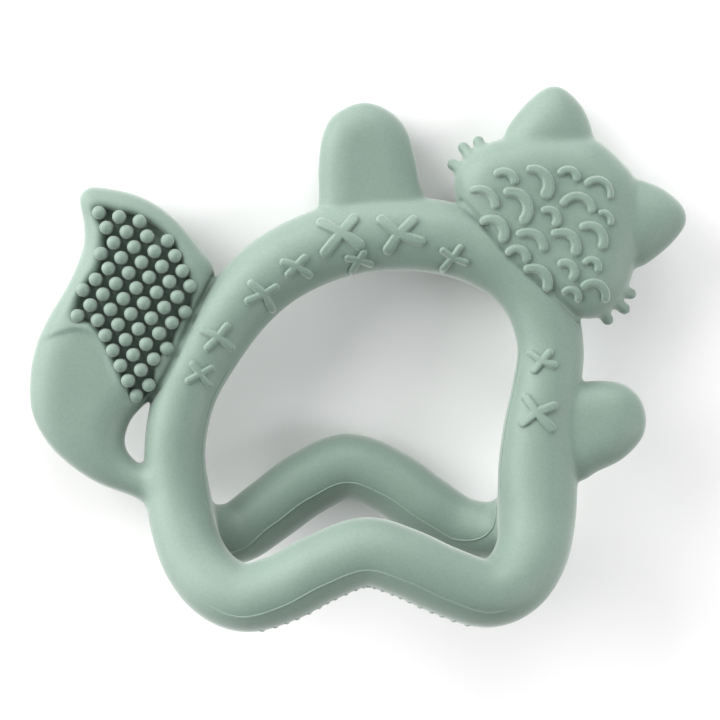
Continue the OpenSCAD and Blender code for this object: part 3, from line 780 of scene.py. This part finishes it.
def sweep(spine, ups, profile):
    """Closed strip along a spine: profile is across and up, ups the directions away from the skin."""
    points, n = [], len(profile)
    for i, p in enumerate(spine):
        t = spine[min(i + 1, len(spine) - 1)] - spine[max(i - 1, 0)]
        t = t / np.linalg.norm(t)
        across = np.cross(ups[i], t)
        across /= np.linalg.norm(across)
        fade = min(1.0, 0.15 + min(i, len(spine) - 1 - i) / 3)
        points += [p + across * a * fade + ups[i] * (h if h < 0 else h * fade) for a, h in profile]
    faces = [[i * n + k, i * n + (k + 1) % n, (i + 1) * n + (k + 1) % n, (i + 1) * n + k]
             for i in range(len(spine) - 1) for k in range(n)]
    faces.append(list(range(n))[::-1])
    faces.append([(len(spine) - 1) * n + k for k in range(n)])
    return np.array(points), faces


def bead_profile(half_w, rise, sink):
    """Low round bead with its foot sunk into the skin."""
    arc = [(half_w * math.cos(a), rise * math.sin(a)) for a in np.radians((0, 30, 60, 90, 120, 150, 180))]
    return [(half_w, -sink)] + arc + [(-half_w, -sink)]


def on_skin(skin, slopes, centres, directions, radii):
    """Points of the skin that lie from the centres in the directions, with their normals."""
    start = centres + directions * radii[:, None]
    return settle(skin_grid, skin, slopes, start, rounds=4)


def make_ribs(skin, slopes, material):
    path = smooth_curve(LOOP_LINE, 8, closed=True)
    underside = np.array((0, -0.85, -0.53))
    shapes = []
    for k in range(RIB_COUNT):
        i = 8 * FRONT_CREST + 2 * (k - (RIB_COUNT - 1) // 2)
        t = path[i + 1][:3] - path[i - 1][:3]
        t /= np.linalg.norm(t)
        down = underside - (underside @ t) * t
        down /= np.linalg.norm(down)
        across = np.cross(down, t)
        angles = np.linspace(-RIB_REACH, RIB_REACH, 15)
        directions = np.outer(np.cos(angles), down) + np.outer(np.sin(angles), across)
        centres = np.repeat(path[i][None, :3], len(angles), axis=0)
        spine, ups = on_skin(skin, slopes, centres, directions, np.full(len(angles), path[i][3]))
        shapes.append(sweep(spine, ups, bead_profile(RIB_HALF, RIB_RISE, RIB_SINK)))
    add_piece("front_bar_ribs_beads", *join_shapes(shapes), None, ["front_bar_ribs"], material)


def seam(skin, slopes, path, turns):
    """Thin raised line along a stretch of a tube: turns gives the way it faces at even steps."""
    n = len(path)
    places = np.linspace(0, len(turns) - 1, n)
    low = np.minimum(places.astype(int), len(turns) - 2)
    share = (places - low)[:, None]
    turns = np.array(turns, float)
    facing = turns[low] * (1 - share) + turns[low + 1] * share
    t = np.gradient(path[:, :3], axis=0)
    t /= np.linalg.norm(t, axis=1)[:, None]
    facing -= (facing * t).sum(1)[:, None] * t
    facing /= np.linalg.norm(facing, axis=1)[:, None]
    spine, ups = on_skin(skin, slopes, path[:, :3], facing, path[:, 3])
    return sweep(spine, ups, bead_profile(SEAM_HALF, SEAM_RISE, SEAM_SINK))


def make_seams(skin, slopes, material):
    loop = smooth_curve(LOOP_LINE, 12, closed=True)
    rear = smooth_curve(REAR_LINE, 12)
    lower_front = (0, -0.45, 0.89)
    upper_back = (0, 0.53, -0.85)
    up_the_leg = [(-0.5, -0.05, 0.85), (-0.8, 0.3, 0.5)]
    inside_left = (0.92, 0, 0.39)
    inside_right = (-0.95, 0, 0.3)
    shapes = [
        seam(skin, slopes, loop[12 * 19 + 8:12 * 26 + 9], [lower_front] * 3),
        seam(skin, slopes, loop[12 * 19:12 * 27], [upper_back] * 3),
        seam(skin, slopes, rear[30:151], [lower_front] * 7 + up_the_leg),
        seam(skin, slopes, rear[24:-30], [upper_back] * 3),
        seam(skin, slopes, loop[12 * 13:12 * 17 - 4], [inside_right] * 3),
        seam(skin, slopes, np.vstack([loop[12 * 29:], loop[:12 * 3]]), [inside_left] * 3),
    ]
    add_piece("moulding_seam", *join_shapes(shapes), None, (), material)


# ---- Silicone ----

def silicone_material():
    """Satin, slightly translucent rubber with a fine moulded grain and faint cloudiness."""
    material = bpy.data.materials.new("sage_silicone")
    material.use_nodes = True
    nodes, links = material.node_tree.nodes, material.node_tree.links
    nodes.clear()
    out = nodes.new("ShaderNodeOutputMaterial")
    shader = nodes.new("ShaderNodeBsdfPrincipled")
    links.new(shader.outputs["BSDF"], out.inputs["Surface"])
    shader.inputs["Subsurface Weight"].default_value = 0.05
    shader.inputs["Subsurface Radius"].default_value = (1.0, 1.0, 0.9)
    shader.inputs["Subsurface Scale"].default_value = 0.0015
    shader.inputs["IOR"].default_value = 1.48
    shader.inputs["Sheen Weight"].default_value = 0.6
    shader.inputs["Sheen Roughness"].default_value = 0.4
    place_node = nodes.new("ShaderNodeTexCoord")

    def noise(scale, detail, rough=0.5):
        node = nodes.new("ShaderNodeTexNoise")
        node.inputs["Scale"].default_value = scale
        node.inputs["Detail"].default_value = detail
        node.inputs["Roughness"].default_value = rough
        links.new(place_node.outputs["Object"], node.inputs["Vector"])
        return node.outputs["Fac"]

    def spread(value, low, high):
        node = nodes.new("ShaderNodeMapRange")
        node.inputs["From Min"].default_value = 0.3
        node.inputs["From Max"].default_value = 0.7
        node.inputs["To Min"].default_value = low
        node.inputs["To Max"].default_value = high
        links.new(value, node.inputs["Value"])
        return node.outputs["Result"]

    clouds = noise(90.0, 4.0)
    tone = nodes.new("ShaderNodeMix")
    tone.data_type = "RGBA"
    tone.inputs["A"].default_value = (*[c * 0.965 for c in SILICONE], 1)
    tone.inputs["B"].default_value = (*[c * 1.03 for c in SILICONE], 1)
    links.new(spread(clouds, 0, 1), tone.inputs["Factor"])
    specks = noise(2600.0, 2.0)
    dust = nodes.new("ShaderNodeMix")
    dust.data_type = "RGBA"
    dust.inputs["B"].default_value = (*BLOOM, 1)
    links.new(tone.outputs["Result"], dust.inputs["A"])
    links.new(spread(specks, 0, 0.07), dust.inputs["Factor"])
    links.new(dust.outputs["Result"], shader.inputs["Base Color"])
    links.new(spread(noise(160.0, 5.0, 0.6), 0.47, 0.59), shader.inputs["Roughness"])
    grain = noise(5200.0, 3.0, 0.6)
    ripple = noise(240.0, 3.0)
    both = nodes.new("ShaderNodeMath")
    both.operation = "MULTIPLY_ADD"
    both.inputs[1].default_value = 6.0
    links.new(ripple, both.inputs[0])
    links.new(grain, both.inputs[2])
    bump = nodes.new("ShaderNodeBump")
    bump.inputs["Strength"].default_value = 0.3
    bump.inputs["Distance"].default_value = 0.00003
    links.new(both.outputs["Value"], bump.inputs["Height"])
    links.new(bump.outputs["Normal"], shader.inputs["Normal"])
    return material


# ---- Stage ----

def ring_direction(x, y, z):
    return LAID_DOWN @ Vector((x, y, z))


def make_camera():
    """Looks straight at the ring's front, as it is drawn."""
    camera = bpy.data.objects.new("camera", bpy.data.cameras.new("camera"))
    camera.data.lens = CAMERA_LENS
    camera.data.sensor_width = 36
    camera.data.clip_start = 0.01
    turned = LAID_DOWN.to_4x4()
    turned.translation = ring_direction(0, 0, CAMERA_DISTANCE) + REST_SHIFT * MM
    camera.matrix_world = turned
    bpy.context.scene.collection.objects.link(camera)
    bpy.context.scene.camera = camera


def make_light(name, direction, distance, size, power, tint):
    data = bpy.data.lights.new(name, "AREA")
    data.shape = "DISK"
    data.size = size
    data.energy = power
    data.color = tint
    light = bpy.data.objects.new(name, data)
    spot = ring_direction(*direction).normalized() * distance
    light.location = spot
    light.rotation_euler = (-spot).to_track_quat("-Z", "Y").to_euler()
    bpy.context.scene.collection.objects.link(light)


def make_floor():
    bpy.ops.mesh.primitive_plane_add(size=2.5)
    floor = bpy.context.object
    floor.name = "floor"
    material = bpy.data.materials.new("pale_floor")
    material.use_nodes = True
    shader = material.node_tree.nodes["Principled BSDF"]
    shader.inputs["Base Color"].default_value = (0.93, 0.93, 0.93, 1)
    shader.inputs["Roughness"].default_value = 0.9
    floor.data.materials.append(material)


def make_stage():
    make_camera()
    make_floor()
    make_light("key", (-1.0, 0.55, 0.50), 1.1, 1.2, 25.0, (1.0, 0.99, 0.98))
    make_light("top", (0.10, 1.0, 0.55), 1.2, 0.9, 11.0, WHITE)
    make_light("low", (-1.0, -0.30, 0.28), 1.1, 0.7, 6.0, WHITE)
    make_light("edge", (0.95, -0.35, 0.50), 1.1, 0.8, 8.0, WHITE)
    make_light("fill", (0.0, 0.0, 1.0), 1.3, 1.8, 1.5, WHITE)
    world = bpy.data.worlds.new("studio")
    world.use_nodes = True
    world.node_tree.nodes["Background"].inputs["Color"].default_value = (1, 1, 1, 1)
    world.node_tree.nodes["Background"].inputs["Strength"].default_value = 0.25
    bpy.context.scene.world = world
    bpy.context.scene.view_settings.view_transform = "Standard"


make_stage()
silicone = silicone_material()
skin, parts, beyond_step, tail_top = build_skin()
slopes = [s.astype(np.float32) for s in np.gradient(skin, SKIN_STEP)]
skin_points, skin_faces = surface_net(skin_grid, skin)
skin_points, skin_normals = settle(skin_grid, skin, slopes, skin_points)
cut_skin(skin_points, skin_faces, skin_normals, parts, beyond_step, silicone)
make_stitches(skin, silicone)
make_fur(skin, silicone)
make_pegs(tail_top, silicone)
make_ribs(skin, slopes, silicone)
make_seams(skin, slopes, silicone)
